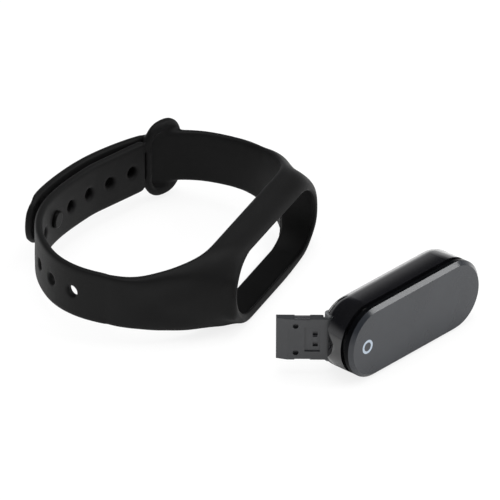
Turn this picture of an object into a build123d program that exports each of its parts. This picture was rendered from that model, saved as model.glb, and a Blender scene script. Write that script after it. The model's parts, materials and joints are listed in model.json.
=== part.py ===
from build123d import *
import math
import os

# Fitness tracker band, shown with its capsule lifted out and the charging plug folded out.
# Millimetres. +Z is up: the strap loop stands on its side edge, on z = 0.
# The origin is the middle of the wrist loop. The tracker faces -Y, and X runs along it.

# --- wrist strap: one silicone moulding -------------------------------------------------
STRAP_THICK = 2.2
STRAP_WIDTH = 15.2
FRAME_WIDTH = 23.6
FRAME_LENGTH = 55.6
FRAME_FRONT_Y = -30.8
FRAME_BACK_Y = -20.9
MID_Z = FRAME_WIDTH / 2
HALF_THICK = STRAP_THICK / 2
HALF_WIDTH = STRAP_WIDTH / 2

# Middle line of the holed side, from its shoulder round the back of the wrist to the keeper.
HOLED_SIDE = [(-40.2, 0), (-39.7, 9), (-36.7, 16.4), (-33.1, 20.8), (-26.2, 26.3), (-8.4, 30.9), (6, 28.7), (26.4, 21)]
# Middle line of the plain side, from its shoulder, through the keeper slot, to the tail fold.
PLAIN_SIDE = [(38.1, 0), (37.4, 9.0), (34.4, 16.3), (29.0, 22.3)]
TAIL_FOLD = (29.0, 22.3)
TIP_FOLD = (-13.0, 34.5)
TAIL_LINE = [TAIL_FOLD, (21.6, 26.9), (12.8, 30.8), (2.0, 33.5), (-6.8, 34.5), TIP_FOLD]
TIP_LINE = [TIP_FOLD, (-16.4, 34.3)]
FOLD_GAP = 0.1

# Outlines seen from above: the shoulders at the strap's edges, and the fuller middle.
EDGE_LEFT = [(-41.3, 0), (-38.6, -11.6), (-32.7, -18.9), (-22.3, -27.3), (-17, FRAME_FRONT_Y)]
EDGE_RIGHT = [(17, FRAME_FRONT_Y), (22.1, -27.6), (31.2, -16.9), (38.2, -6.4), (39.2, 0)]
CROWN_LEFT = [(-41.3, 0), (-39.4, -11.0), (-35.5, -18.5), (-31, -25.5), (-26.4, FRAME_FRONT_Y)]
CROWN_RIGHT = [(26.4, FRAME_FRONT_Y), (31, -25.5), (35.2, -17.5), (38.6, -8.0), (39.2, 0)]
INNER_LEFT = [(-23, FRAME_BACK_Y), (-30.5, -17.0), (-36.8, -9.0), (-39.1, 0)]
INNER_RIGHT = [(37.0, 0), (35.2, -8.0), (30.0, -16.0), (23, FRAME_BACK_Y)]

# Half heights of the shoulders seen from the front, by distance from the middle.
EDGE_TAPER = [(17, 11.8), (27.4, 10.7), (31.6, 9.5), (34.8, 8.4), (37.4, 7.7), (42, 7.6)]
CROWN_TAPER = [(17, 11.6), (20, 11), (22, 10.1), (24, 8.7), (26, 7), (29, 5.4), (34, 3.4), (38, 0)]

# --- closure ----------------------------------------------------------------------------
KEEPER_NEAR = (27.8, 20.2)
KEEPER_FAR = (37.5, 16.3)
KEEPER_THICK = 2.6
KEEPER_HEIGHT = 22.6
KEEPER_BAR = 1.9
KEEPER_RAIL = 3.3
KEEPER_CORNER = 5.5
KEEPER_ROUND = 0.9
HOLE_COUNT = 10
HOLE_PITCH = 8.0
FIRST_HOLE_FROM_END = 4.7
HOLE_RADIUS = 2.0
COUNTERSINK_RADIUS = 2.75
COUNTERSINK_DEPTH = 0.45
STUD_HOLE = 4
STUD_POST_RADIUS = 1.7
STUD_HEAD_RADIUS = 2.4
STUD_HEAD_THICK = 1.2
STUD_REACH = 4.6
STUD_CAP_RADIUS = 3.2
STUD_CAP_THICK = 0.9

# --- capsule, in its own axes: x along it, -y its face, z across ---------------------------
POD_LENGTH = 51.0
POD_WIDTH = 20.0
FACE_Y = -6.6
PLATE_BACK_Y = -4.3
NECK_FRONT_Y = -4.15
GROOVE_BACK_Y = -3.0
PARTING_Y = 1.8
BACK_Y = 6.6
GROOVE_DEPTH = 1.3
NECK_LENGTH = POD_LENGTH - 2 * GROOVE_DEPTH
NECK_WIDTH = POD_WIDTH - 2 * GROOVE_DEPTH
PLATE_BEVEL = 1.0
END_RADIUS = 8.0
EDGE_RADIUS = 4.0
WALL = 1.5
BACK_WALL = 1.2
FLOOR_Y = -2.0
CAVITY_LENGTH = POD_LENGTH - 2 * WALL
CAVITY_WIDTH = POD_WIDTH - 2 * WALL
WINDOW_LENGTH = 44.0
WINDOW_WIDTH = 13.0
KEY_X = -19.0
KEY_OUTER = 1.95
KEY_INNER = 1.25
KEY_INLAY = 0.15

# --- capsule seat in the strap ---------------------------------------------------------------
SEAT_Y = -26.15
SEAT_GAP = 0.1
LIP_BACK_Y = -29.25
LIP_TIP_Y = -29.8
LIP_LENGTH = 48.8
LIP_WIDTH = 17.6
RIM_LENGTH = 53.8
RIM_WIDTH = 21.6
RELIEF_GAP = 0.35
RELIEF_LENGTH = 11.0

# --- where the capsule lies beside the strap ---------------------------------------------------
PARKED_X = -11.6
PARKED_Y = -69.75
PARKED_Z = 10.0
PARKED_TURN = 17.7
DOCK_AXIS_LEAN_X = 0.02

# --- charging plug, in its own axes: x from the hinge to the tip, y its outer face ---------------
HINGE_X = -21.3
HINGE_Y = 4.4
PLUG_OPEN = 132.0
PLUG_LENGTH = 14.0
PLUG_WIDTH = 12.0
PLUG_THICK = 2.5
PLUG_OFFSET = 0.8
PLUG_ROOT = 1.7
PLUG_BEVEL = 2.9
KNUCKLE_RADIUS = 1.4
KNUCKLE_INNER_Z = 5.1
KNUCKLE_OUTER_Z = 6.95
CENTRE_KNUCKLE_Z = 4.9
PIN_RADIUS = 0.6
PIN_GAP = 0.05
RECESS_FLOOR_Y = 3.8
RECESS_HALF_WIDTH = 6.2
HINGE_FLOOR_Y = 2.25
STRIP_START = 5.2
STRIP_END = 9.2
STRIP_NOTCH = 0.2
STRIP_INNER_Z = 5.0
COVER_START = -0.3
COLUMN_START = 0.4

# --- parts inside the capsule ---------------------------------------------------------------------
PCB_FRONT_Y = -1.2
PCB_BACK_Y = -0.4
MOTOR_X = 19.0
MOTOR_RADIUS = 3.8
MOTOR_FRONT_Y = -0.2
MOTOR_BACK_Y = 2.6
MOTOR_WALL = 0.35
SENSOR_X = 10.0
SENSOR_RADIUS = 4.5
BOSS_RADIUS = 1.3
SCREW_PLACES = [(-12, 7), (-12, -7), (12, 7), (12, -7)]


def block(x0, x1, y0, y1, z0, z1):
    """Box between two corners."""
    middle = Pos((x0 + x1) / 2, (y0 + y1) / 2, (z0 + z1) / 2)
    return middle * Box(x1 - x0, y1 - y0, z1 - z0)


def rod(radius, x, y0, y1, z=0.0):
    """Round bar along Y."""
    return Pos(x, (y0 + y1) / 2, z) * Cylinder(radius, y1 - y0, rotation=(90, 0, 0))


def stadium(length, width, y0, y1):
    """Long round-ended slab in the XZ plane, between two depths."""
    outline = Plane.XZ * SlotOverall(length, width)
    return Pos(0, y1, 0) * extrude(outline, y1 - y0)


def closed_outline(*runs):
    """Face bounded by smooth runs of points, joined end to end by straight lines."""
    edges = []
    for index, run in enumerate(runs):
        following = runs[(index + 1) % len(runs)]
        edges.append(Spline(*run) if len(run) > 2 else Line(*run))
        if (Vector(*run[-1]) - Vector(*following[0])).length > 0.001:
            edges.append(Line(run[-1], following[0]))
    return make_face(edges)


def middle_line(points, start, end):
    """Smooth curve through the points with stated end directions."""
    return Spline(*points, tangents=(start, end))


def strip(curve, z0, z1):
    """Upright strip of the strap's thickness that follows a curve in plan."""
    steps = 24
    outer = []
    inner = []
    for step in range(steps + 1):
        place = curve.position_at(step / steps)
        across = curve.tangent_at(step / steps).rotate(Axis.Z, 90) * HALF_THICK
        outer.append(place + across)
        inner.append(place - across)
    ends = [Line(outer[-1], inner[-1]), Line(inner[0], outer[0])]
    face = make_face([Spline(*outer), Spline(*inner), *ends])
    return Pos(0, 0, z0) * extrude(face, z1 - z0, dir=(0, 0, 1))


def upright_rod(radius, place, z0, z1):
    """Round bar along Z."""
    return Pos(place[0], place[1], (z0 + z1) / 2) * Cylinder(radius, z1 - z0)


# Curves of the strap. Angles are the direction of travel, in degrees from +X.
def heading(degrees):
    return (math.cos(math.radians(degrees)), math.sin(math.radians(degrees)), 0)


KEEPER_ANGLE = math.degrees(math.atan2(KEEPER_FAR[1] - KEEPER_NEAR[1], KEEPER_FAR[0] - KEEPER_NEAR[0]))
holed_curve = middle_line(HOLED_SIDE, heading(93), heading(KEEPER_ANGLE))
plain_curve = middle_line(PLAIN_SIDE, heading(90), heading(140))
tail_curve = middle_line(TAIL_LINE, heading(142), heading(181))
tip_curve = middle_line(TIP_LINE, heading(181), heading(186))
STRAP_LOW = MID_Z - HALF_WIDTH
STRAP_HIGH = MID_Z + HALF_WIDTH


def taper_cut(profile):
    """Front-view outline of the shoulders, as a slab that runs through in depth."""
    right_top = [(x, MID_Z + h) for x, h in profile]
    right_low = [(x, MID_Z - h) for x, h in reversed(profile)]
    left_low = [(-x, MID_Z - h) for x, h in profile]
    left_top = [(-x, MID_Z + h) for x, h in reversed(profile)]
    outline = Plane.XZ * closed_outline(right_top, right_low, left_low, left_top)
    return Pos(0, 1, 0) * extrude(outline, 40)


def shoulders():
    """Frame and both shoulders, up to the middle of each side."""
    edge_plan = closed_outline(EDGE_LEFT, EDGE_RIGHT, INNER_RIGHT, INNER_LEFT)
    crown_plan = closed_outline(CROWN_LEFT, CROWN_RIGHT, INNER_RIGHT, INNER_LEFT)
    edge = extrude(edge_plan, FRAME_WIDTH) & taper_cut(EDGE_TAPER)
    crown = extrude(crown_plan, FRAME_WIDTH) & taper_cut(CROWN_TAPER)
    rim = Pos(0, 0, MID_Z) * stadium(FRAME_LENGTH, FRAME_WIDTH, FRAME_FRONT_Y, FRAME_BACK_Y)
    return edge + crown + rim


def capsule_seat():
    """Hollow that the capsule snaps into, with the thin lip that grips its groove."""
    length = POD_LENGTH + 2 * SEAT_GAP
    width = POD_WIDTH + 2 * SEAT_GAP
    well = stadium(length, width, LIP_BACK_Y, FRAME_BACK_Y + 8)
    mouth = stadium(LIP_LENGTH, LIP_WIDTH, LIP_TIP_Y - 0.01, LIP_BACK_Y + 1)
    wide = Plane.XZ.offset(-FRAME_FRONT_Y) * SlotOverall(RIM_LENGTH, RIM_WIDTH)
    narrow = Plane.XZ.offset(-LIP_TIP_Y) * SlotOverall(LIP_LENGTH, LIP_WIDTH)
    return Pos(0, 0, MID_Z) * (well + mouth + loft([narrow.face(), wide.face()]))


def open_plug_relief():
    """Scoop inside the frame's left end. It clears the open plug when the capsule is in its seat."""
    half = KNUCKLE_OUTER_Z + RELIEF_GAP
    room = block(-2, RELIEF_LENGTH, -PLUG_THICK * 2, PLUG_OUT_Y + RELIEF_GAP, -half, half)
    return Pos(HINGE_X, SEAT_Y + HINGE_Y, MID_Z) * Rot(0, 0, PLUG_OPEN) * room


def hole_fraction(number):
    """Place of a numbered hole along the holed side, as a fraction of its length."""
    reach = holed_curve.length - FIRST_HOLE_FROM_END - number * HOLE_PITCH
    return reach / holed_curve.length


def adjustment_holes():
    """Row of round holes in the holed side, each with a ring sunk in the inner face."""
    holes = []
    for number in range(HOLE_COUNT):
        place = holed_curve.position_at(hole_fraction(number))
        outward = holed_curve.tangent_at(hole_fraction(number)).rotate(Axis.Z, 90)
        plane = Plane(origin=place + Vector(0, 0, MID_Z), z_dir=outward)
        holes.append(plane * Cylinder(HOLE_RADIUS, STRAP_THICK + 1))
        sunk = plane * Pos(0, 0, -HALF_THICK + COUNTERSINK_DEPTH / 2 - 0.25)
        holes.append(sunk * Cylinder(COUNTERSINK_RADIUS, COUNTERSINK_DEPTH + 0.5))
    return holes


def keeper_loop():
    """Oval ring at the end of the holed side. The plain side passes through its slot."""
    middle = Vector((KEEPER_NEAR[0] + KEEPER_FAR[0]) / 2, (KEEPER_NEAR[1] + KEEPER_FAR[1]) / 2, MID_Z)
    along = Vector(*heading(KEEPER_ANGLE))
    spacing = math.dist(KEEPER_NEAR, KEEPER_FAR)
    outline = RectangleRounded(spacing + KEEPER_BAR, KEEPER_HEIGHT, KEEPER_CORNER)
    outline -= RectangleRounded(spacing - KEEPER_BAR, KEEPER_HEIGHT - 2 * KEEPER_RAIL, KEEPER_CORNER / 2)
    plane = Plane(origin=middle, x_dir=along, z_dir=along.cross(Vector(0, 0, 1)))
    ring = extrude(outline, KEEPER_THICK / 2, both=True)
    rims = ring.edges().group_by(Axis.Z)
    return plane * fillet(rims[0] + rims[-1], KEEPER_ROUND)


def band_strap():
    """Frame, shoulders, both sides and keeper: everything moulded in one with the frame."""
    plain = strip(plain_curve, STRAP_LOW, STRAP_HIGH)
    plain -= upright_rod(HALF_THICK + FOLD_GAP, TAIL_FOLD, 0, FRAME_WIDTH)
    holed = strip(holed_curve, STRAP_LOW, STRAP_HIGH)
    body = shoulders() - capsule_seat() - open_plug_relief()
    body = body + plain + holed + keeper_loop()
    for hole in adjustment_holes():
        body -= hole
    return body


def tail_hole_plane():
    """Plane on the tail over the chosen hole, facing outward."""
    under = holed_curve.position_at(hole_fraction(STUD_HOLE))
    best = min(range(401), key=lambda i: (tail_curve.position_at(i / 400) - under).length)
    place = tail_curve.position_at(best / 400)
    outward = (place - under).normalized()
    return Plane(origin=place + Vector(0, 0, MID_Z), z_dir=outward)


def round_end():
    """Side view of the tail's half-round end, as a slab that runs through it."""
    along = tip_curve.tangent_at(1)
    centre = tip_curve.position_at(1) - along * HALF_WIDTH + Vector(0, 0, MID_Z)
    side = Plane(origin=centre, x_dir=along, z_dir=along.cross(Vector(0, 0, 1)))
    keep = Pos(-30, 0, 0) * Rectangle(60, STRAP_WIDTH) + Circle(HALF_WIDTH)
    return extrude(side * keep, 20, both=True)


def strap_tail():
    """Free tail of the plain side, outside the loop, up to where its tip bends."""
    body = strip(tail_curve, STRAP_LOW, STRAP_HIGH)
    body += upright_rod(HALF_THICK, TAIL_FOLD, STRAP_LOW, STRAP_HIGH)
    body -= upright_rod(HALF_THICK + FOLD_GAP, TIP_FOLD, 0, FRAME_WIDTH)
    body &= round_end()
    body -= tail_hole_plane() * Cylinder(STUD_POST_RADIUS + PIN_GAP, STRAP_THICK + 2)
    return body


def strap_tail_tip():
    """Tab beyond the stud, which the fingers lift."""
    body = strip(tip_curve, STRAP_LOW, STRAP_HIGH)
    body += upright_rod(HALF_THICK, TIP_FOLD, STRAP_LOW, STRAP_HIGH)
    return body & round_end()


def stud():
    """Post and head of the closure stud, from the tail's outer face inward."""
    plane = tail_hole_plane()
    post_length = STUD_REACH + HALF_THICK + HALF_THICK - STUD_HEAD_THICK
    post = Pos(0, 0, HALF_THICK - post_length / 2) * Cylinder(STUD_POST_RADIUS, post_length)
    head_middle = -HALF_THICK - STUD_REACH + STUD_HEAD_THICK / 2
    head = Pos(0, 0, head_middle) * Cylinder(STUD_HEAD_RADIUS, STUD_HEAD_THICK)
    head = fillet(head.edges().group_by(Axis.Z)[0], 0.55)
    return plane * (post + head)


def stud_cap():
    """Round button on the tail's outer face, riveted to the stud."""
    cap = Pos(0, 0, HALF_THICK + STUD_CAP_THICK / 2) * Cylinder(STUD_CAP_RADIUS, STUD_CAP_THICK)
    cap = fillet(cap.edges().group_by(Axis.Z)[-1], 0.5)
    return tail_hole_plane() * cap


def capsule_envelope(shrink, y0, y1):
    """Outside of the capsule body, drawn in evenly by shrink, between two depths."""
    length = POD_LENGTH - 2 * shrink
    width = POD_WIDTH - 2 * shrink
    back = BACK_Y - shrink
    slab = stadium(length, width, y0, back)
    rim = slab.edges().filter_by_position(Axis.Y, back - 0.01, back + 0.01)
    slab = fillet(rim, EDGE_RADIUS - shrink)
    plan = RectangleRounded(length, 2 * (back + 30), END_RADIUS - shrink)
    slab &= extrude(Pos(0, -30, 0) * plan, POD_WIDTH, both=True)
    return slab & block(-40, 40, y0, y1, -20, 20)


def touch_glass():
    """Tinted face plate with a bevelled edge and a shallow pocket behind for the display."""
    plate = stadium(POD_LENGTH, POD_WIDTH, FACE_Y, PLATE_BACK_Y)
    front = plate.edges().filter_by_position(Axis.Y, FACE_Y - 0.01, FACE_Y + 0.01)
    plate = chamfer(front, PLATE_BEVEL, PLATE_BEVEL)
    plate -= stadium(WINDOW_LENGTH + 2, WINDOW_WIDTH + 1, PLATE_BACK_Y - 1.2, PLATE_BACK_Y + 1)
    return plate - touch_key_mark()


def touch_key_mark():
    """Light ring inlaid flush in the face, over the touch key."""
    ring = rod(KEY_OUTER, KEY_X, FACE_Y, FACE_Y + KEY_INLAY)
    return ring - rod(KEY_INNER, KEY_X, FACE_Y - 1, FACE_Y + 1)


def glass_adhesive():
    """Ring of adhesive between the face plate and the front housing."""
    ring = stadium(NECK_LENGTH, NECK_WIDTH, PLATE_BACK_Y, NECK_FRONT_Y)
    return ring - stadium(WINDOW_LENGTH + 2, WINDOW_WIDTH + 1, PLATE_BACK_Y - 1, NECK_FRONT_Y + 1)


def display_panel():
    """Small display in the pocket behind the face plate."""
    return block(-10, 17, -5.4, -4.5, -5.5, 5.5)


def display_flex():
    """Flat cable from the display to the circuit board."""
    down = block(17.6, 17.75, -4.95, PCB_FRONT_Y, -3, 3)
    across = block(17.0, 17.75, -4.95, -4.8, -3, 3)
    return down + across


def touch_electrode():
    """Pad and stem that carry the touch key's signal from the plate to the board."""
    pad = rod(2.4, KEY_X, -5.45, -5.2)
    return pad + rod(0.6, KEY_X, -5.2, PCB_FRONT_Y)


def front_housing():
    """Front shell: grooved neck, floor with a display window, and side wall."""
    shell = stadium(NECK_LENGTH, NECK_WIDTH, NECK_FRONT_Y, GROOVE_BACK_Y)
    shell += capsule_envelope(0, GROOVE_BACK_Y, PARTING_Y)
    shell -= stadium(CAVITY_LENGTH, CAVITY_WIDTH, FLOOR_Y, PARTING_Y + 1)
    shell -= stadium(WINDOW_LENGTH, WINDOW_WIDTH, NECK_FRONT_Y - 1, FLOOR_Y + 1)
    for x, z in SCREW_PLACES:
        shell += rod(BOSS_RADIUS, x, FLOOR_Y - 0.3, PCB_FRONT_Y, z)
    for x, z in SCREW_PLACES:
        shell -= rod(0.5, x, GROOVE_BACK_Y + 0.25, PCB_FRONT_Y + 0.5, z)
    return shell


def hinge_column():
    """Centre knuckle of the plug hinge, on a column that stands on the hinge floor."""
    column = block(
        HINGE_X + COLUMN_START,
        HINGE_X + KNUCKLE_RADIUS,
        HINGE_FLOOR_Y - 0.2,
        HINGE_Y,
        -CENTRE_KNUCKLE_Z,
        CENTRE_KNUCKLE_Z,
    )
    knuckle = upright_rod(KNUCKLE_RADIUS, (HINGE_X, HINGE_Y), -CENTRE_KNUCKLE_Z, CENTRE_KNUCKLE_Z)
    bore = upright_rod(PIN_RADIUS + PIN_GAP, (HINGE_X, HINGE_Y), -POD_WIDTH, POD_WIDTH)
    return column + knuckle - bore


def back_housing():
    """Back shell, with a tray for the folded plug and a window for the heart sensor."""
    recess_end = HINGE_X + PLUG_LENGTH + 0.4
    hinge_end = HINGE_X + KNUCKLE_RADIUS + 0.25
    shell = capsule_envelope(0, PARTING_Y, BACK_Y)
    hollow = stadium(CAVITY_LENGTH, CAVITY_WIDTH, PARTING_Y - 1, BACK_Y)
    hollow &= capsule_envelope(BACK_WALL, PARTING_Y - 1, BACK_Y - BACK_WALL)
    tray_half = RECESS_HALF_WIDTH + 1
    hollow -= block(-30, recess_end + 1, RECESS_FLOOR_Y - 1, BACK_Y, -tray_half, tray_half)
    hollow -= block(-30, hinge_end + 1, PARTING_Y, BACK_Y, -POD_WIDTH, POD_WIDTH)
    shell -= hollow
    shell -= block(-30, recess_end, RECESS_FLOOR_Y, BACK_Y + 1, -RECESS_HALF_WIDTH, RECESS_HALF_WIDTH)
    side = KNUCKLE_OUTER_Z + 0.15
    shell -= block(-30, hinge_end, HINGE_FLOOR_Y, BACK_Y + 1, -side, side)
    shell -= rod(SENSOR_RADIUS + 0.02, SENSOR_X, PARTING_Y, BACK_Y + 1)
    return shell + hinge_column()


def housing_seal():
    """Silicone ring inside the joint between the two shells."""
    ring = stadium(CAVITY_LENGTH - 0.1, CAVITY_WIDTH - 0.1, PARTING_Y - 0.7, PARTING_Y - 0.05)
    return ring - stadium(CAVITY_LENGTH - 1.4, CAVITY_WIDTH - 1.4, PARTING_Y - 1, PARTING_Y + 1)


def main_pcb():
    """Main circuit board, screwed to the front housing."""
    board = stadium(CAVITY_LENGTH - 3, CAVITY_WIDTH - 1.2, PCB_FRONT_Y, PCB_BACK_Y)
    for x, z in SCREW_PLACES:
        board -= rod(0.55, x, PCB_FRONT_Y - 1, PCB_BACK_Y + 1, z)
    return board


def pcb_chips():
    """Processor, radio, memory and motion sensor on the board's front face."""
    processor = block(-3, 3, -2.2, PCB_FRONT_Y, -3, 3)
    radio = block(6, 10, -2.1, PCB_FRONT_Y, -2.5, 1.5)
    motion_sensor = block(-8, -5.5, -2.0, PCB_FRONT_Y, -1.2, 1.3)
    memory = block(12, 15, -1.9, PCB_FRONT_Y, -2, 2)
    charger = block(-13, -10.5, -1.9, PCB_FRONT_Y, 1, 3.5)
    return Compound(children=[processor, radio, motion_sensor, memory, charger])


def pcb_screws():
    """Four small screws that hold the board."""
    screws = []
    for x, z in SCREW_PLACES:
        shank = rod(0.47, x, GROOVE_BACK_Y + 0.4, PCB_BACK_Y, z)
        screws.append(shank + rod(0.85, x, PCB_BACK_Y, PCB_BACK_Y + 0.5, z))
    return Compound(children=screws)


def antenna():
    """Metal strip antenna round the inside of the far end."""
    strip_ring = stadium(CAVITY_LENGTH - 0.4, CAVITY_WIDTH - 0.4, FLOOR_Y + 0.1, PCB_BACK_Y)
    strip_ring -= stadium(CAVITY_LENGTH - 0.8, CAVITY_WIDTH - 0.8, FLOOR_Y - 1, PCB_BACK_Y + 1)
    return strip_ring & block(17, 30, -5, 5, -12, 12)


def battery():
    """Flat lithium cell behind the board."""
    cell = block(-18.4, 4.5, PCB_BACK_Y + 0.2, 2.6, -5.9, 5.9)
    return fillet(cell.edges().filter_by(Axis.Z), 0.8)


def battery_pad():
    """Foam pad between the cell and the plug tray."""
    return block(-16, 2, 2.62, 2.78, -5, 5)


def motor_case():
    """Cup of the coin vibration motor, with the front bearing."""
    cup = rod(MOTOR_RADIUS, MOTOR_X, MOTOR_FRONT_Y, MOTOR_BACK_Y - MOTOR_WALL)
    cup -= rod(MOTOR_RADIUS - MOTOR_WALL, MOTOR_X, MOTOR_FRONT_Y + MOTOR_WALL, MOTOR_BACK_Y)
    return cup - rod(0.45, MOTOR_X, MOTOR_FRONT_Y - 1, MOTOR_BACK_Y)


def motor_cover():
    """Lid of the vibration motor, with the back bearing."""
    lid = rod(MOTOR_RADIUS, MOTOR_X, MOTOR_BACK_Y - MOTOR_WALL, MOTOR_BACK_Y)
    return lid - rod(0.45, MOTOR_X, MOTOR_FRONT_Y, MOTOR_BACK_Y + 1)


def motor_rotor():
    """Off-centre weight on its shaft, which makes the vibration."""
    weight = rod(3.1, MOTOR_X, 0.4, 2.0) & block(MOTOR_X - 4, MOTOR_X + 4, 0, 3, 0, 4)
    hub = rod(1.0, MOTOR_X, 0.4, 2.0)
    shaft = rod(0.4, MOTOR_X, MOTOR_FRONT_Y + 0.05, MOTOR_BACK_Y - 0.05)
    return weight + hub + shaft


def heart_sensor_board():
    """Small board with the light source and light sensor behind the window."""
    board = block(SENSOR_X - 4, SENSOR_X + 4, 3.3, 3.9, -4.5, 4.5)
    source = block(SENSOR_X - 2.6, SENSOR_X - 0.9, 3.9, 4.7, -1, 1)
    sensor = block(SENSOR_X + 0.9, SENSOR_X + 2.6, 3.9, 4.7, -1, 1)
    return board + source + sensor


def sensor_window():
    """Clear round window of the heart sensor, a little proud of the back."""
    lens = rod(SENSOR_RADIUS, SENSOR_X, BACK_Y - BACK_WALL, BACK_Y + 0.3)
    return fillet(lens.edges().group_by(Axis.Y)[-1], 0.25)


def usb_flex():
    """Flat cable that leads from the board towards the plug hinge."""
    return block(-18.8, -18.65, PCB_BACK_Y, PARTING_Y - 0.15, -3, 3)


def hinge_pin():
    """Steel pin of the plug hinge."""
    return upright_rod(PIN_RADIUS, (HINGE_X, HINGE_Y), -KNUCKLE_OUTER_Z + 0.1, KNUCKLE_OUTER_Z - 0.1)


def detent_springs():
    """Leaf springs under the two plug knuckles, which hold the plug shut or open."""
    leaves = []
    for low, high in ((-6.9, -6.1), (6.1, 6.9)):
        leaves.append(block(HINGE_X - 1.2, HINGE_X + 1.2, HINGE_FLOOR_Y, HINGE_FLOOR_Y + 0.2, low, high))
    return Compound(children=leaves)


PLUG_IN_Y = PLUG_OFFSET - PLUG_THICK / 2
PLUG_OUT_Y = PLUG_OFFSET + PLUG_THICK / 2
PLUG_HALF = PLUG_WIDTH / 2


def plug_hinge_bracket():
    """Metal bracket moulded into the plug, with the two outer knuckles."""
    bracket = block(PLUG_ROOT + 0.6, PLUG_ROOT + 2.2, 0.2, 0.7, -PLUG_HALF + 0.3, PLUG_HALF - 0.3)
    for low, high in ((-KNUCKLE_OUTER_Z, -KNUCKLE_INNER_Z), (KNUCKLE_INNER_Z, KNUCKLE_OUTER_Z)):
        bracket += upright_rod(KNUCKLE_RADIUS, (0, 0), low, high)
    for low, high in ((-PLUG_HALF + 0.3, -KNUCKLE_INNER_Z), (KNUCKLE_INNER_Z, PLUG_HALF - 0.3)):
        bracket += block(0, PLUG_ROOT + 2.2, 0.1, 0.8, low, high)
    return bracket - upright_rod(PIN_RADIUS + PIN_GAP, (0, 0), -POD_WIDTH, POD_WIDTH)


def plug_stiffener():
    """Four steel strips let into the plug's side edges, two on each side."""
    edge = PLUG_HALF - STRIP_NOTCH
    strips = []
    for middle in (PLUG_IN_Y + 0.75, PLUG_OUT_Y - 0.75):
        strips.append(block(STRIP_START, STRIP_END, middle - 0.2, middle + 0.2, STRIP_INNER_Z, edge))
        strips.append(block(STRIP_START, STRIP_END, middle - 0.2, middle + 0.2, -edge, -STRIP_INNER_Z))
    return Compound(children=strips)


def plug_contacts():
    """Four gold contact strips on the plug's inner face."""
    spacing = 2.2
    strips = []
    for number in range(4):
        z = (number - 1.5) * spacing
        strips.append(block(6.0, 13.2, PLUG_IN_Y, PLUG_IN_Y + 0.15, z - 0.5, z + 0.5))
    return Compound(children=strips)


def plug_body():
    """Plastic blade of the plug, with a bevelled tip, two round holes and a sunk window."""
    body = block(PLUG_ROOT, PLUG_LENGTH, PLUG_IN_Y, PLUG_OUT_Y, -PLUG_HALF, PLUG_HALF)
    body = fillet(body.edges().filter_by(Axis.Z).group_by(Axis.X)[0], 0.5)
    body += block(COVER_START, PLUG_ROOT + 0.6, KNUCKLE_RADIUS + 0.15, PLUG_OUT_Y, -PLUG_HALF, PLUG_HALF)
    bevel = [
        (PLUG_LENGTH - PLUG_BEVEL, PLUG_OUT_Y),
        (PLUG_LENGTH + 1, PLUG_OUT_Y - 1.1),
        (PLUG_LENGTH + 1, PLUG_OUT_Y + 1),
    ]
    body -= extrude(make_face(Polyline(*bevel, close=True)), PLUG_WIDTH, both=True)
    for z in (-3.95, 3.95):
        body -= rod(0.75, PLUG_LENGTH - 5.1, PLUG_OUT_Y - 1.0, PLUG_OUT_Y + 1, z)
    window_floor = PLUG_OUT_Y - 0.45
    body -= block(2.6, 6.6, window_floor, PLUG_OUT_Y + 1, -3.6, 3.6)
    body += block(3.3, 4.5, window_floor - 0.1, PLUG_OUT_Y - 0.15, -0.7, 0.7)
    for z in (-1.6, 1.6):
        body -= block(3.2, 4.5, PLUG_OUT_Y - 1.2, PLUG_OUT_Y + 1, z - 0.65, z + 0.65)
    for side in (-1, 1):
        notch_middle = side * (PLUG_HALF + 1 - STRIP_NOTCH)
        body -= block(STRIP_START, STRIP_END, -5, 5, notch_middle - 1, notch_middle + 1)
    return body - plug_hinge_bracket() - plug_stiffener() - plug_contacts()


# Placing the capsule: it is drawn in its seat and then swung out to where it lies.
seat = Vector(0, SEAT_Y, MID_Z)
parked = Vector(PARKED_X, PARKED_Y, PARKED_Z)
travel = seat - parked
lean_y = -(travel.Z + travel.X * DOCK_AXIS_LEAN_X) / travel.Y
dock_direction = Vector(DOCK_AXIS_LEAN_X, lean_y, 1).normalized()
half_turn = math.radians(PARKED_TURN / 2)
dock_pivot = (seat + parked) * 0.5 + dock_direction.cross(travel) * (0.5 / math.tan(half_turn))
dock_axis = Axis(dock_pivot, dock_direction)


def as_capsule_part(shape):
    """Move a shape from the capsule's own axes to where the capsule lies."""
    return (Pos(0, SEAT_Y, MID_Z) * shape).rotate(dock_axis, -PARKED_TURN)


def as_plug_part(shape):
    """Move a shape from the plug's own axes to the open plug."""
    return as_capsule_part(Pos(HINGE_X, HINGE_Y, 0) * Rot(0, 0, PLUG_OPEN) * shape)


BAND_PARTS = [band_strap, strap_tail, strap_tail_tip, stud, stud_cap]
CAPSULE_PARTS = [
    touch_glass,
    touch_key_mark,
    glass_adhesive,
    display_panel,
    display_flex,
    touch_electrode,
    front_housing,
    back_housing,
    housing_seal,
    main_pcb,
    pcb_chips,
    pcb_screws,
    antenna,
    battery,
    battery_pad,
    motor_case,
    motor_cover,
    motor_rotor,
    heart_sensor_board,
    sensor_window,
    usb_flex,
    hinge_pin,
    detent_springs,
]
PLUG_PARTS = [plug_body, plug_hinge_bracket, plug_stiffener, plug_contacts]

os.makedirs("parts", exist_ok=True)
for make in BAND_PARTS:
    export_step(make(), f"parts/{make.__name__}.step")
for make in CAPSULE_PARTS:
    export_step(as_capsule_part(make()), f"parts/{make.__name__}.step")
for make in PLUG_PARTS:
    export_step(as_plug_part(make()), f"parts/{make.__name__}.step")
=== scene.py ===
import json
import math

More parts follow.
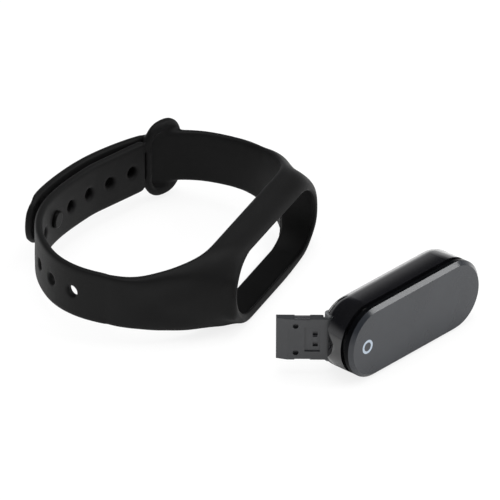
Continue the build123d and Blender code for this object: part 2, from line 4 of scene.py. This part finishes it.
import bmesh
import bpy
import numpy as np
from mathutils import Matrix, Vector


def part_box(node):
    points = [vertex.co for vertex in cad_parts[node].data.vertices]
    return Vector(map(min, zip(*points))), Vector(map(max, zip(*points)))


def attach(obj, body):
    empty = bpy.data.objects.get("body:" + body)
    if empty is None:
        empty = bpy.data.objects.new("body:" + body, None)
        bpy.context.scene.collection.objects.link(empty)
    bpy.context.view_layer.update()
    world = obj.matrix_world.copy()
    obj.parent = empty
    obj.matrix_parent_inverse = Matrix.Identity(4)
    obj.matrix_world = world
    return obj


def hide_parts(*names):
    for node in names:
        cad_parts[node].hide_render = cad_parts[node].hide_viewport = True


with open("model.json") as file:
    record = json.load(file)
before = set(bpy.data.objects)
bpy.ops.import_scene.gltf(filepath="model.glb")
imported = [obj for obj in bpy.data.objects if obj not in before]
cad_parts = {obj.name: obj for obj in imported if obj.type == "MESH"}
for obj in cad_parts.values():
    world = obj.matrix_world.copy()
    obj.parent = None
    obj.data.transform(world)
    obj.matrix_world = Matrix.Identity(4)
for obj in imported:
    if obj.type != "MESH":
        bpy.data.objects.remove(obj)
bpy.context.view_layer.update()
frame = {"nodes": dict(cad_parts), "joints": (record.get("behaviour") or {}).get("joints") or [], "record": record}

import openvdb
from mathutils import Vector

slots = {part["node"]: part["material_slot"] for part in frame["record"]["subparts"]}

MM = 0.001
WELD = 1e-6

# Grid of the distance fields: its cell, how far its distances reach, and the margin round a node.
VOXEL = 0.25 * MM
REACH = 5 * MM
ROOM_MARGIN = 4 * MM

# The strap, as in the CAD: its thickness and middle height, the frame's front and back
# along Y, the frame's hollow for the capsule, and how far that is cut past both faces.
STRAP_THICK = 2.2 * MM
MID_Z = 11.8 * MM
FRAME_FRONT = -30.8 * MM
FRAME_BACK = -20.9 * MM
RIM_LENGTH = 53.8 * MM
RIM_WIDTH = 21.6 * MM
RIM_OVERRUN = 3 * MM

# Half height of the shoulders by distance from the middle, as in the CAD.
SHOULDER_TAPER = (
    np.array([17, 27.4, 31.6, 34.8, 37.4, 42]) * MM,
    np.array([11.8, 10.7, 9.5, 8.4, 7.7, 7.6]) * MM,
)

# Round ends of the frame's front, which widen backwards: where they start, their
# radius, how oval they are, their slope, and the factor that makes it a distance again.
FRONT_END_X = 14 * MM
FRONT_END_RADIUS = 11.6 * MM
FRONT_OVAL = 0.76
FRONT_SLOPE = 2
FRONT_SCALE = 0.45

# Rounding of the moulding's outside: swollen shoulders, calmer sides, sharper rim, skin over all.
SWELL_ROUND = 1.9 * MM
CALM_ROUND = 1.4 * MM
RIM_ROUND = 0.75 * MM
SKIN_ROUND = 0.4 * MM
HOLLOW_ROUND = 0.2 * MM
CORNER_FILL = 2.6 * MM

# A distance field that is cut off at zero and then blurred keeps half its slope at
# a flat wall, and the wall lies about this many radii deep in it.
CUT_FIELD_DEPTH = 0.4
CUT_FIELD_SLOPE = 0.5

# Long edges lose height when they are blurred. This much is given back, and more on the sides.
EDGE_RETURN = 0.45 * MM
EDGE_RETURN_SIDES = 0.4 * MM
EDGE_HEIGHTS = (0, 9 * MM)
EDGE_Y = (FRAME_FRONT + 1 * MM, FRAME_FRONT + 6 * MM)

# The sharper rim fades backwards along Y, and upwards along a height that tilts with X.
RIM_Y = (FRAME_FRONT + 1 * MM, FRAME_FRONT + 4 * MM)
RIM_HEIGHTS = (2 * MM, 14 * MM)
RIM_TILT = 0.4

# Ranges of Y over which one treatment of the strap blends into the next, front to back.
CALM_Y = (-24 * MM, -12 * MM)
CORNER_Y = (-16 * MM, -8 * MM)
SHOULDER_Y = (-13 * MM, -3 * MM)
HOLES_Y = (-12 * MM, -8 * MM)

# Sides of the strap: rounding near the holes and along the edges, by distance from the middle height.
HOLE_ROUND = 0.25 * MM
LONG_EDGE_ROUND = 0.5 * MM
LONG_EDGE_HEIGHTS = (3.4 * MM, 5.2 * MM)
HOLE_HEIGHTS = (3.2 * MM, 4.2 * MM)
HOLE_DRAW_IN = 0.45 * MM

# Heights at which the strap has no holes, and how far the flood of the wrist's side
# keeps from a wall, so that it doesn't leak through a slit.
FLOOD_LEVEL = MID_Z + 4 * MM
SOLID_LEVEL = MID_Z + 5 * MM
SLIT = 0.5 * MM

# Direction to the capsule's back, and how much the shell's normals lean that way, from
# its front to its back, so that its sides seem to bulge.
CAPSULE_BACK = Vector((0.304, 0.953, 0.0))
BULGE = (-0.02, 0.3)

FLOOR_SIZE = 6.0
FLOOR_GLOW = 0.82
WORLD_STRENGTH = 0.9
COAT_ROUGHNESS = 0.06
BLACK = (0.006, 0.006, 0.007)
WHITE = (1, 1, 1, 1)


# ---------------------------------------------------------------- materials

def new_material(name):
    """Node material with its principled shader."""
    material = bpy.data.materials.new(name)
    material.use_nodes = True
    return material, material.node_tree.nodes, material.node_tree.links


def set_inputs(node, **values):
    """Set a node's inputs by name, with _ for a space."""
    for name, value in values.items():
        node.inputs[name.replace("_", " ")].default_value = value


def texture_point(nodes):
    """Place in object space."""
    return nodes.new("ShaderNodeTexCoord").outputs["Object"]


def vector_step(nodes, operation, constant=None):
    """Vector math node, with an optional constant as its first input."""
    node = nodes.new("ShaderNodeVectorMath")
    node.operation = operation
    if constant is not None:
        node.inputs[0].default_value = constant
    return node


def noise(nodes, links, scale, detail):
    """Noise in object space. Scale is in cycles per metre."""
    texture = nodes.new("ShaderNodeTexNoise")
    set_inputs(texture, Scale=scale, Detail=detail)
    links.new(texture_point(nodes), texture.inputs["Vector"])
    return texture.outputs["Fac"]


def remap(nodes, links, value, low, high, start=0.3, end=0.7):
    """Map start..end of a value to low..high. The defaults suit noise."""
    node = nodes.new("ShaderNodeMapRange")
    set_inputs(node, From_Min=start, From_Max=end, To_Min=low, To_Max=high)
    links.new(value, node.inputs["Value"])
    return node.outputs["Result"]


def tint(nodes, links, factor, dark, light):
    """Colour that runs from dark to light with a factor."""
    node = nodes.new("ShaderNodeMix")
    node.data_type = "RGBA"
    node.inputs["A"].default_value = (*dark, 1)
    node.inputs["B"].default_value = (*light, 1)
    links.new(factor, node.inputs["Factor"])
    return node.outputs["Result"]


def mottled(nodes, links, patches, dark, light):
    """Colour that follows a patchy noise."""
    return tint(nodes, links, remap(nodes, links, patches, 0, 1), dark, light)


def bump(nodes, links, height, strength, distance, base=None):
    """Normal bent by a height, in metres, on top of an optional base normal."""
    node = nodes.new("ShaderNodeBump")
    set_inputs(node, Strength=strength, Distance=distance)
    links.new(height, node.inputs["Height"])
    if base is not None:
        links.new(base, node.inputs["Normal"])
    return node.outputs["Normal"]


def surface(name, dark, light, rough, grain, metallic=0.0, specular=0.5, coat=0.0):
    """Mottled colour with an uneven roughness and a fine grain.

    rough is the middle and the spread. grain is the cycles per metre and the depth in metres.
    """
    (middle, unevenness), (cycles, depth) = rough, grain
    material, nodes, links = new_material(name)
    shader = nodes["Principled BSDF"]
    set_inputs(shader, Metallic=metallic, Specular_IOR_Level=specular)
    set_inputs(shader, Coat_Weight=coat, Coat_Roughness=COAT_ROUGHNESS)
    patches = noise(nodes, links, 140.0, detail=4.0)
    specks = noise(nodes, links, cycles, detail=2.0)
    links.new(mottled(nodes, links, patches, dark, light), shader.inputs["Base Color"])
    uneven = remap(nodes, links, specks, middle - unevenness, middle + unevenness)
    links.new(uneven, shader.inputs["Roughness"])
    links.new(bump(nodes, links, specks, strength=0.5, distance=depth), shader.inputs["Normal"])
    return material


def silicone_material():
    """Matte black silicone: fine moulded grain over soft waves, and a faint sheen."""
    material, nodes, links = new_material("matte_silicone")
    shader = nodes["Principled BSDF"]
    set_inputs(shader, Specular_IOR_Level=0.12, Sheen_Weight=0.01, Sheen_Roughness=0.5)
    patches = noise(nodes, links, 60.0, detail=5.0)
    grain = noise(nodes, links, 5200.0, detail=2.0)
    dark, light = (0.0036, 0.0036, 0.0037), (0.005, 0.005, 0.0051)
    links.new(mottled(nodes, links, patches, dark, light), shader.inputs["Base Color"])
    links.new(remap(nodes, links, grain, 0.5, 0.62), shader.inputs["Roughness"])
    waves = noise(nodes, links, 420.0, detail=2.0)
    soft = bump(nodes, links, waves, strength=0.15, distance=4e-5)
    fine = bump(nodes, links, grain, strength=0.35, distance=1.2e-5, base=soft)
    links.new(fine, shader.inputs["Normal"])
    return material


def face_material():
    """Face plate: smooth grey under a thin clear coat, with painted shade that darkens its bevels and sides."""
    material, nodes, links = new_material("face_painted_shade")
    shader = nodes["Principled BSDF"]
    set_inputs(shader, Specular_IOR_Level=0.3, Coat_Weight=0.12, Coat_Roughness=0.12)
    cloud = noise(nodes, links, 90.0, detail=3.0)
    specks = noise(nodes, links, 6000.0, detail=1.0)
    dark, light = (0.0165, 0.0185, 0.0225), (0.021, 0.0235, 0.028)
    colour = mottled(nodes, links, cloud, dark, light)
    # Painted shade: colour, specular and coat are scaled down where the surface faces away from the capsule's
    # front, so the bevels and sides look dark.
    front = vector_step(nodes, "DOT_PRODUCT", -CAPSULE_BACK)
    links.new(nodes.new("ShaderNodeTexCoord").outputs["Normal"], front.inputs[1])
    facing = front.outputs["Value"]
    painted_shade_colour = vector_step(nodes, "SCALE")
    links.new(colour, painted_shade_colour.inputs[0])
    links.new(remap(nodes, links, facing, 0.1, 1.0, start=0.2, end=0.5), painted_shade_colour.inputs["Scale"])
    links.new(painted_shade_colour.outputs["Vector"], shader.inputs["Base Color"])
    for socket, low, high in (("Specular IOR Level", 0.03, 0.3), ("Coat Weight", 0.0, 0.12)):
        links.new(remap(nodes, links, facing, low, high, start=0.2, end=0.5), shader.inputs[socket])
    links.new(remap(nodes, links, specks, 0.2, 0.27), shader.inputs["Roughness"])
    links.new(bump(nodes, links, specks, strength=0.1, distance=4e-6), shader.inputs["Normal"])
    return material


def shell_material():
    """Polished black shell whose flat sides reflect as if they bulged towards the capsule's back."""
    dark, light = (0.003, 0.003, 0.0035), (0.005, 0.005, 0.006)
    material = surface("gloss_black_shell", dark, light, (0.12, 0.03), (2200.0, 1.5e-6), coat=0.25)
    nodes, links = material.node_tree.nodes, material.node_tree.links
    shader = nodes["Principled BSDF"]
    depth = vector_step(nodes, "DOT_PRODUCT", CAPSULE_BACK)
    links.new(texture_point(nodes), depth.inputs[1])
    depths = [
        CAPSULE_BACK.dot(vertex.co)
        for node, obj in frame["nodes"].items()
        if slots[node] == "gloss_black"
        for vertex in obj.data.vertices
    ]
    span = {"start": min(depths), "end": max(depths)}
    amount = remap(nodes, links, depth.outputs["Value"], *BULGE, **span)
    lean = vector_step(nodes, "SCALE", CAPSULE_BACK)
    links.new(amount, lean.inputs["Scale"])
    total = vector_step(nodes, "ADD")
    links.new(nodes.new("ShaderNodeNewGeometry").outputs["Normal"], total.inputs[0])
    links.new(lean.outputs["Vector"], total.inputs[1])
    unit = vector_step(nodes, "NORMALIZE")
    links.new(total.outputs["Vector"], unit.inputs[0])
    for socket in ("Normal", "Coat Normal"):
        links.new(unit.outputs["Vector"], shader.inputs[socket])
    return material


def lens_material():
    """Dark clear window of the pulse sensor."""
    dark, light = (0.004, 0.004, 0.006), (0.008, 0.008, 0.012)
    material = surface("sensor_lens", dark, light, (0.05, 0.02), (900.0, 1e-6))
    shader = material.node_tree.nodes["Principled BSDF"]
    set_inputs(shader, Transmission_Weight=0.55, IOR=1.5, Coat_Weight=0.6)
    return material


def metal(name, dark, light):
    """Satin metal with a fine grain."""
    return surface(name, dark, light, (0.3, 0.06), (3500.0, 4e-6), metallic=1.0)


def inner_materials():
    """Materials of what lies inside the capsule."""
    glass, foam, board = (0.01, 0.01, 0.012), (0.02, 0.02, 0.02), (0.01, 0.09, 0.03)
    film, epoxy, seal = (0.32, 0.13, 0.02), (0.014, 0.014, 0.015), (0.08, 0.08, 0.08)
    return {
        "adhesive": surface("adhesive_tape", BLACK, (0.01, 0.01, 0.01), (0.6, 0.08), (3000.0, 8e-6)),
        "display_black": surface("display_glass", BLACK, glass, (0.08, 0.02), (1500.0, 1e-6), coat=0.5),
        "flex_amber": surface("polyimide_film", film, (0.45, 0.2, 0.04), (0.32, 0.05), (2600.0, 4e-6)),
        "gold": metal("gold_plating", (0.72, 0.47, 0.18), (0.83, 0.58, 0.26)),
        "seal_grey": surface("seal_rubber", seal, (0.11, 0.11, 0.11), (0.65, 0.08), (3000.0, 8e-6)),
        "pcb_green": surface("board_lacquer", board, (0.02, 0.13, 0.05), (0.3, 0.06), (2000.0, 6e-6)),
        "chip_black": surface("chip_epoxy", epoxy, (0.022, 0.022, 0.024), (0.5, 0.08), (4000.0, 6e-6)),
        "steel": metal("brushed_steel", (0.42, 0.42, 0.43), (0.56, 0.56, 0.57)),
        "cell_foil": metal("cell_foil", (0.5, 0.5, 0.52), (0.62, 0.62, 0.64)),
        "foam": surface("black_foam", foam, (0.05, 0.05, 0.05), (0.9, 0.05), (2500.0, 8e-5)),
        "lens": lens_material(),
    }


def outer_materials():
    """Materials of the stud, the capsule's outside and the plug."""
    stud, stud_light = (0.002, 0.002, 0.002), (0.004, 0.004, 0.004)
    ink, ink_light = (0.3, 0.36, 0.43), (0.37, 0.43, 0.5)
    plug, plug_light = (0.017, 0.018, 0.02), (0.023, 0.024, 0.027)
    grey, grey_light = (0.1, 0.105, 0.11), (0.14, 0.145, 0.15)
    return {
        "stud_black": surface("stud_gloss", stud, stud_light, (0.3, 0.04), (2500.0, 2e-6), specular=0.04),
        "face_grey": face_material(),
        "mark_ink": surface("printed_ring", ink, ink_light, (0.4, 0.05), (5000.0, 3e-6)),
        "gloss_black": shell_material(),
        "plug_black": surface("plug_plastic", plug, plug_light, (0.34, 0.06), (3200.0, 5e-6)),
        "bracket_grey": surface("bracket_grey", grey, grey_light, (0.3, 0.06), (2800.0, 5e-6)),
    }


def slot_materials():
    """One finished material for each material slot of the record."""
    return {"silicone": silicone_material(), **outer_materials(), **inner_materials()}


# ---------------------------------------------------------------- distance fields

class Field:
    """Signed distances on a regular grid, in metres, with the grid's first index."""

    def __init__(self, values, first):
        self.values = values
        self.first = first

    def axes(self):
        """Coordinates of the grid along x, y and z, shaped to combine with the values."""
        spans = [(np.arange(n) + f) * VOXEL for n, f in zip(self.values.shape, self.first)]
        return spans[0][:, None, None], spans[1][None, :, None], spans[2][None, None, :]

    def layer(self, height):
        """Index of the grid's layer at a height."""
        return round(height / VOXEL) - self.first[2]

    def with_values(self, values):
        """The same grid with other values."""
        return Field(values.astype(np.float32), self.first)


def solid_mesh(node):
    """Welded points and triangles of a CAD node."""
    work = bmesh.new()
    work.from_mesh(frame["nodes"][node].data)
    bmesh.ops.remove_doubles(work, verts=work.verts, dist=WELD)
    bmesh.ops.triangulate(work, faces=work.faces)
    work.verts.index_update()
    points = np.array([v.co[:] for v in work.verts], np.float32)
    triangles = np.array([[v.index for v in f.verts] for f in work.faces], np.int32)
    work.free()
    return points, triangles


def field_of(node, low, high):
    """Distance field of a CAD node over a box."""
    points, triangles = solid_mesh(node)
    transform = openvdb.createLinearTransform(voxelSize=VOXEL)
    grid = openvdb.FloatGrid.createLevelSetFromPolygons(
        points, triangles=triangles, transform=transform, halfWidth=REACH / VOXEL
    )
    first = [math.floor(v / VOXEL) for v in low]
    last = [math.ceil(v / VOXEL) for v in high]
    values = np.full([b - a for a, b in zip(first, last)], REACH, np.float32)
    grid.copyToArray(values, ijk=tuple(first))
    return Field(values, first)


def running_mean(values, axis, width):
    """Mean over a number of neighbours along an axis, with the edges repeated."""
    pad = [(width // 2 + 1, width // 2) if a == axis else (0, 0) for a in range(3)]
    total = np.cumsum(np.pad(values, pad, mode="edge"), axis=axis, dtype=np.float64)
    count = values.shape[axis]
    high = np.take(total, np.arange(width, width + count), axis=axis)
    low = np.take(total, np.arange(0, count), axis=axis)
    return ((high - low) / width).astype(np.float32)


def softened(field, radius):
    """Field blurred evenly, which rounds edges and fills creases to about the radius."""
    width = 2 * round(radius / VOXEL) + 1
    values = field.values
    for axis in range(3):
        for _ in range(3):
            values = running_mean(values, axis, width)
    return Field(values, field.first)


def step(value, start, end):
    """Smooth step from 0 at start to 1 at end."""
    t = np.clip((value - start) / (end - start), 0, 1)
    return t * t * (3 - 2 * t)


def blend(first, second, share):
    """Mix of two values: all first at a share of 0, all second at 1."""
    return first * (1 - share) + second * share


def slot_distance(field, length, width, front, back):
    """Distance to a long round-ended slab that lies between two Y, at the strap's middle height."""
    x, y, z = field.axes()
    run = np.maximum(np.abs(x) - (length - width) / 2, 0)
    side = np.hypot(run, z - MID_Z) - width / 2
    return np.maximum(side, np.maximum(front - y, y - back)).astype(np.float32)


def knuckle(field, joint):
    """Distance to the round bar of a strap fold, about its joint's axis."""
    x, y, _ = field.axes()
    place = joint_place(joint)
    return (np.hypot(x - place[0], y - place[1]) - STRAP_THICK / 2).astype(np.float32)


def scene_object(name, data):
    """New object in the scene."""
    obj = bpy.data.objects.new(name, data)
    bpy.context.scene.collection.objects.link(obj)
    return obj


def field_mesh(name, field, material):
    """Smooth mesh object on the zero level of a field."""
    grid = openvdb.FloatGrid(REACH)
    grid.transform = openvdb.createLinearTransform(voxelSize=VOXEL)
    grid.copyFromArray(np.ascontiguousarray(field.values), ijk=tuple(field.first))
    points, quads = grid.convertToQuads()
    quads = quads[:, ::-1]
    mesh = bpy.data.meshes.new(name)
    mesh.vertices.add(len(points))
    mesh.vertices.foreach_set("co", points.ravel())
    mesh.loops.add(len(quads) * 4)
    mesh.loops.foreach_set("vertex_index", quads.ravel())
    mesh.polygons.add(len(quads))
    mesh.polygons.foreach_set("loop_start", np.arange(len(quads)) * 4)
    mesh.polygons.foreach_set("use_smooth", np.ones(len(quads), bool))
    mesh.update(calc_edges=True)
    mesh.validate()
    mesh.materials.append(material)
    return scene_object(name, mesh)


def silicone_piece(name, field, node, body, material):
    """Mesh of a field that stands in for a strap node and rides on its body."""
    piece = field_mesh(name, field, material)
    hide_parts(node)
    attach(piece, body)


# ---------------------------------------------------------------- strap

def joint_place(name):
    """Plan position of a joint."""
    return next(j for j in frame["joints"] if j["name"] == name)["pos_m"][:2]


def room_round(*nodes):
    """Box round some nodes, with a margin."""
    boxes = [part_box(node) for node in nodes]
    low = [min(b[0][a] for b in boxes) - ROOM_MARGIN for a in range(3)]
    high = [max(b[1][a] for b in boxes) + ROOM_MARGIN for a in range(3)]
    return low, high


def folded(field, neighbour, joint):
    """Field joined with the round fold that a neighbouring piece turns about."""
    return Field(np.minimum(field.values, np.maximum(neighbour.values, knuckle(field, joint))), field.first)


def rounded_strip(field):
    """Strip with soft long edges and crisp holes."""
    z = field.axes()[2]
    edge = step(np.abs(z - MID_Z), *LONG_EDGE_HEIGHTS)
    crisp, soft = softened(field, HOLE_ROUND), softened(field, LONG_EDGE_ROUND)
    return Field(blend(crisp.values, soft.values, edge), field.first)


def spread(region):
    """Region of a plan grown by one cell to each side."""
    grown = region.copy()
    grown[1:] |= region[:-1]
    grown[:-1] |= region[1:]
    grown[:, 1:] |= region[:, :-1]
    grown[:, :-1] |= region[:, 1:]
    return grown


def flooded(open_cells, seed):
    """Cells that connect to the seed through open cells."""
    reached = np.zeros_like(open_cells)
    reached[seed] = True
    while True:
        grown = spread(reached) & open_cells
        if (grown == reached).all():
            return reached
        reached = grown


def wrist_side(field):
    """Distance to the open middle of the loop, the same at every height.

    The flood keeps out of narrow slits, then grows back to the wall.
    """
    level = field.layer(FLOOD_LEVEL)
    slice_at = field.values[:, :, level - 2:level + 3].min(axis=2)
    seed = (-field.first[0], -field.first[1])
    inside = flooded(slice_at > SLIT, seed)
    for _ in range(round(SLIT / VOXEL) + 1):
        inside = spread(inside) & (slice_at > 0)
    return np.where(inside, -np.abs(slice_at), np.abs(slice_at))[:, :, None]


def narrowed(field):
    """Field with the strap holes drawn in a little, as moulded rubber holes are."""
    _, y, z = field.axes()
    section = field.values[:, :, field.layer(SOLID_LEVEL)][:, :, None]
    tight = np.maximum(section, field.values - HOLE_DRAW_IN)
    share = (1 - step(np.abs(z - MID_Z), *HOLE_HEIGHTS)) * step(y, *HOLES_Y)
    return field.with_values(blend(field.values, tight, share))


def filled_shoulders(filled, wrist):
    """Field whose frame and shoulders reach solid to the wrist, with the CAD's taper and oval ends."""
    x, y, z = filled.axes()
    height = np.abs(z - MID_Z)
    taper = np.maximum(wrist, height - np.interp(np.abs(x), *SHOULDER_TAPER))
    whole = np.minimum(filled.values, taper)
    run = np.maximum(np.abs(x) - FRONT_END_X, 0) * FRONT_OVAL
    end = np.hypot(run, z - MID_Z) - FRONT_END_RADIUS
    end = (end - FRONT_SLOPE * (y - FRAME_FRONT)) * FRONT_SCALE
    return filled.with_values(np.maximum(whole, end))


def inner_wall(field, wrist):
    """Distance to the wrist's side with flowing inner corners behind the frame."""
    y = field.axes()[1]
    cut = field.with_values(np.minimum(wrist, 0))
    blurred = softened(cut, CORNER_FILL).values
    flowing = (blurred + CUT_FIELD_DEPTH * CORNER_FILL) / CUT_FIELD_SLOPE
    return blend(wrist, flowing, 1 - step(y, *CORNER_Y))


def smooth_outside(whole, wall):
    """Rounded outside of the frame and shoulders, open on the wrist's side."""
    x, y, z = whole.axes()
    height = np.abs(z - MID_Z)
    calm = step(y, *CALM_Y)
    body = blend(softened(whole, SWELL_ROUND).values, softened(whole, CALM_ROUND).values, calm)
    front = (1 - step(y, *RIM_Y)) * (1 - step(z + RIM_TILT * x, *RIM_HEIGHTS))
    edge = step(height, *EDGE_HEIGHTS) * step(y, *EDGE_Y)
    given_back = (EDGE_RETURN + EDGE_RETURN_SIDES * calm) * edge
    outside = blend(body, softened(whole, RIM_ROUND).values, front) - given_back
    outside = np.maximum(outside, height - MID_Z)
    return softened(whole.with_values(np.maximum(outside, -wall)), SKIN_ROUND).values


def rim_hollow(field):
    """Hollow of the frame behind the gripping lip, where the capsule goes."""
    front, back = FRAME_FRONT - RIM_OVERRUN, FRAME_BACK + RIM_OVERRUN
    hollow = slot_distance(field, RIM_LENGTH, RIM_WIDTH, front, back)
    return np.maximum(hollow, -softened(field, HOLLOW_ROUND).values)


def band_piece(material):
    """Frame, shoulders, sides and keeper as one smooth moulding."""
    low, high = room_round("band_strap")
    strap, tail = field_of("band_strap", low, high), field_of("strap_tail", low, high)
    raw = narrowed(folded(strap, tail, "tail_peel"))
    plug = slot_distance(raw, RIM_LENGTH, RIM_WIDTH, FRAME_FRONT, FRAME_BACK)
    filled = Field(np.minimum(raw.values, plug), raw.first)
    wrist = wrist_side(filled)
    outside = smooth_outside(filled_shoulders(filled, wrist), inner_wall(filled, wrist))
    shoulder = 1 - step(raw.axes()[1], *SHOULDER_Y)
    shape = blend(rounded_strip(filled).values, outside, shoulder)
    shape = raw.with_values(np.maximum(shape, -rim_hollow(raw)))
    silicone_piece("strap_moulding", shape, "band_strap", "band", material)


def tail_pieces(material):
    """Free tail and its finger tab, which meet in round folds."""
    low, high = room_round("strap_tail", "strap_tail_tip")
    tail, tip = field_of("strap_tail", low, high), field_of("strap_tail_tip", low, high)
    tail_shape = rounded_strip(folded(tail, tip, "tail_tip_lift"))
    silicone_piece("strap_free_tail", tail_shape, "strap_tail", "tail", material)
    silicone_piece("strap_finger_tab", rounded_strip(tip), "strap_tail_tip", "tail_tip", material)


materials = slot_materials()
for node, obj in frame["nodes"].items():
    obj.data.materials.clear()
    obj.data.materials.append(materials[slots[node]])
band_piece(materials["silicone"])
tail_pieces(materials["silicone"])


# ---------------------------------------------------------------- stage, light and camera

def floor_material():
    """Pale matte sheet that glows a little to the camera, which keeps its shadow faint."""
    material, nodes, links = new_material("pale_floor")
    shader = nodes["Principled BSDF"]
    set_inputs(shader, Base_Color=(0.9, 0.9, 0.9, 1), Roughness=0.9, Specular_IOR_Level=0.1)
    glow = nodes.new("ShaderNodeEmission")
    set_inputs(glow, Color=WHITE, Strength=1.0)
    share = nodes.new("ShaderNodeMath")
    share.operation = "MULTIPLY"
    share.inputs[1].default_value = FLOOR_GLOW
    links.new(nodes.new("ShaderNodeLightPath").outputs["Is Camera Ray"], share.inputs[0])
    mix = nodes.new("ShaderNodeMixShader")
    for source, socket in ((share, 0), (shader, 1), (glow, 2)):
        links.new(source.outputs[0], mix.inputs[socket])
    links.new(mix.outputs[0], nodes["Material Output"].inputs["Surface"])
    return material


def floor():
    """Large sheet under the object."""
    work = bmesh.new()
    bmesh.ops.create_grid(work, x_segments=8, y_segments=8, size=FLOOR_SIZE)
    mesh = bpy.data.meshes.new("floor")
    work.to_mesh(mesh)
    work.free()
    mesh.materials.append(floor_material())
    scene_object("floor", mesh)


def aim(obj, place, direction):
    """Put a lamp or camera at a place, looking in a direction."""
    obj.location = place
    obj.rotation_mode = "QUATERNION"
    obj.rotation_quaternion = direction.to_track_quat("-Z", "Y")


def area_light(name, place, target, size, power):
    """Rectangular lamp at a place, turned towards a target."""
    data = bpy.data.lights.new(name, "AREA")
    data.shape = "RECTANGLE"
    data.size, data.size_y = size
    data.energy = power
    aim(scene_object(name, data), place, Vector(target) - Vector(place))


def reflected_sky(nodes, links):
    """Colour by elevation: pale low down, dark above, and paler again overhead."""
    direction = nodes.new("ShaderNodeSeparateXYZ")
    links.new(nodes.new("ShaderNodeTexCoord").outputs["Generated"], direction.inputs[0])
    ramp = nodes.new("ShaderNodeValToRGB")
    ramp.color_ramp.interpolation = "EASE"
    stops = ramp.color_ramp.elements
    stops[0].position, stops[0].color = 0.08, (0.95, 0.95, 0.97, 1)
    stops[1].position, stops[1].color = 0.44, (0.03, 0.03, 0.035, 1)
    for position, level in ((0.8, 0.03), (0.97, 0.5)):
        stops.new(position).color = (level, level, level * 1.03, 1)
    links.new(direction.outputs["Z"], ramp.inputs["Fac"])
    return ramp.outputs["Color"]


def studio():
    """White tent, with a dark upper part that shows only in reflections, and two lamps."""
    world = bpy.data.worlds.new("studio")
    world.use_nodes = True
    nodes, links = world.node_tree.nodes, world.node_tree.links
    mix = nodes.new("ShaderNodeMix")
    mix.data_type = "RGBA"
    mix.inputs["A"].default_value = WHITE
    links.new(nodes.new("ShaderNodeLightPath").outputs["Is Glossy Ray"], mix.inputs["Factor"])
    links.new(reflected_sky(nodes, links), mix.inputs["B"])
    links.new(mix.outputs["Result"], nodes["Background"].inputs["Color"])
    set_inputs(nodes["Background"], Strength=WORLD_STRENGTH)
    bpy.context.scene.world = world
    area_light("overhead", place=(0, 0, 0.6), target=(0, 0, 0), size=(0.5, 0.4), power=2.0)
    right = {"place": (0.25, -0.5, 0.36), "target": (0, -0.06, 0.01)}
    area_light("right_front", size=(0.3, 0.2), power=1.6, **right)
    bpy.context.scene.view_settings.view_transform = "Standard"


def camera():
    """Long lens, looking down at the object from its left front."""
    azimuth, elevation = math.radians(-65.4), math.radians(30.6)
    target = Vector((16.2, -14.9, 0)) * MM
    distance, view_width = 3.0, 0.13193
    level = math.cos(elevation)
    back = Vector((math.sin(azimuth) * level, -math.cos(azimuth) * level, math.sin(elevation)))
    data = bpy.data.cameras.new("camera")
    data.sensor_width = 36.0
    data.lens = data.sensor_width * distance / view_width
    data.clip_start, data.clip_end = 0.1, 60
    obj = scene_object("camera", data)
    aim(obj, target + back * distance, -back)
    bpy.context.scene.camera = obj


floor()
studio()
camera()
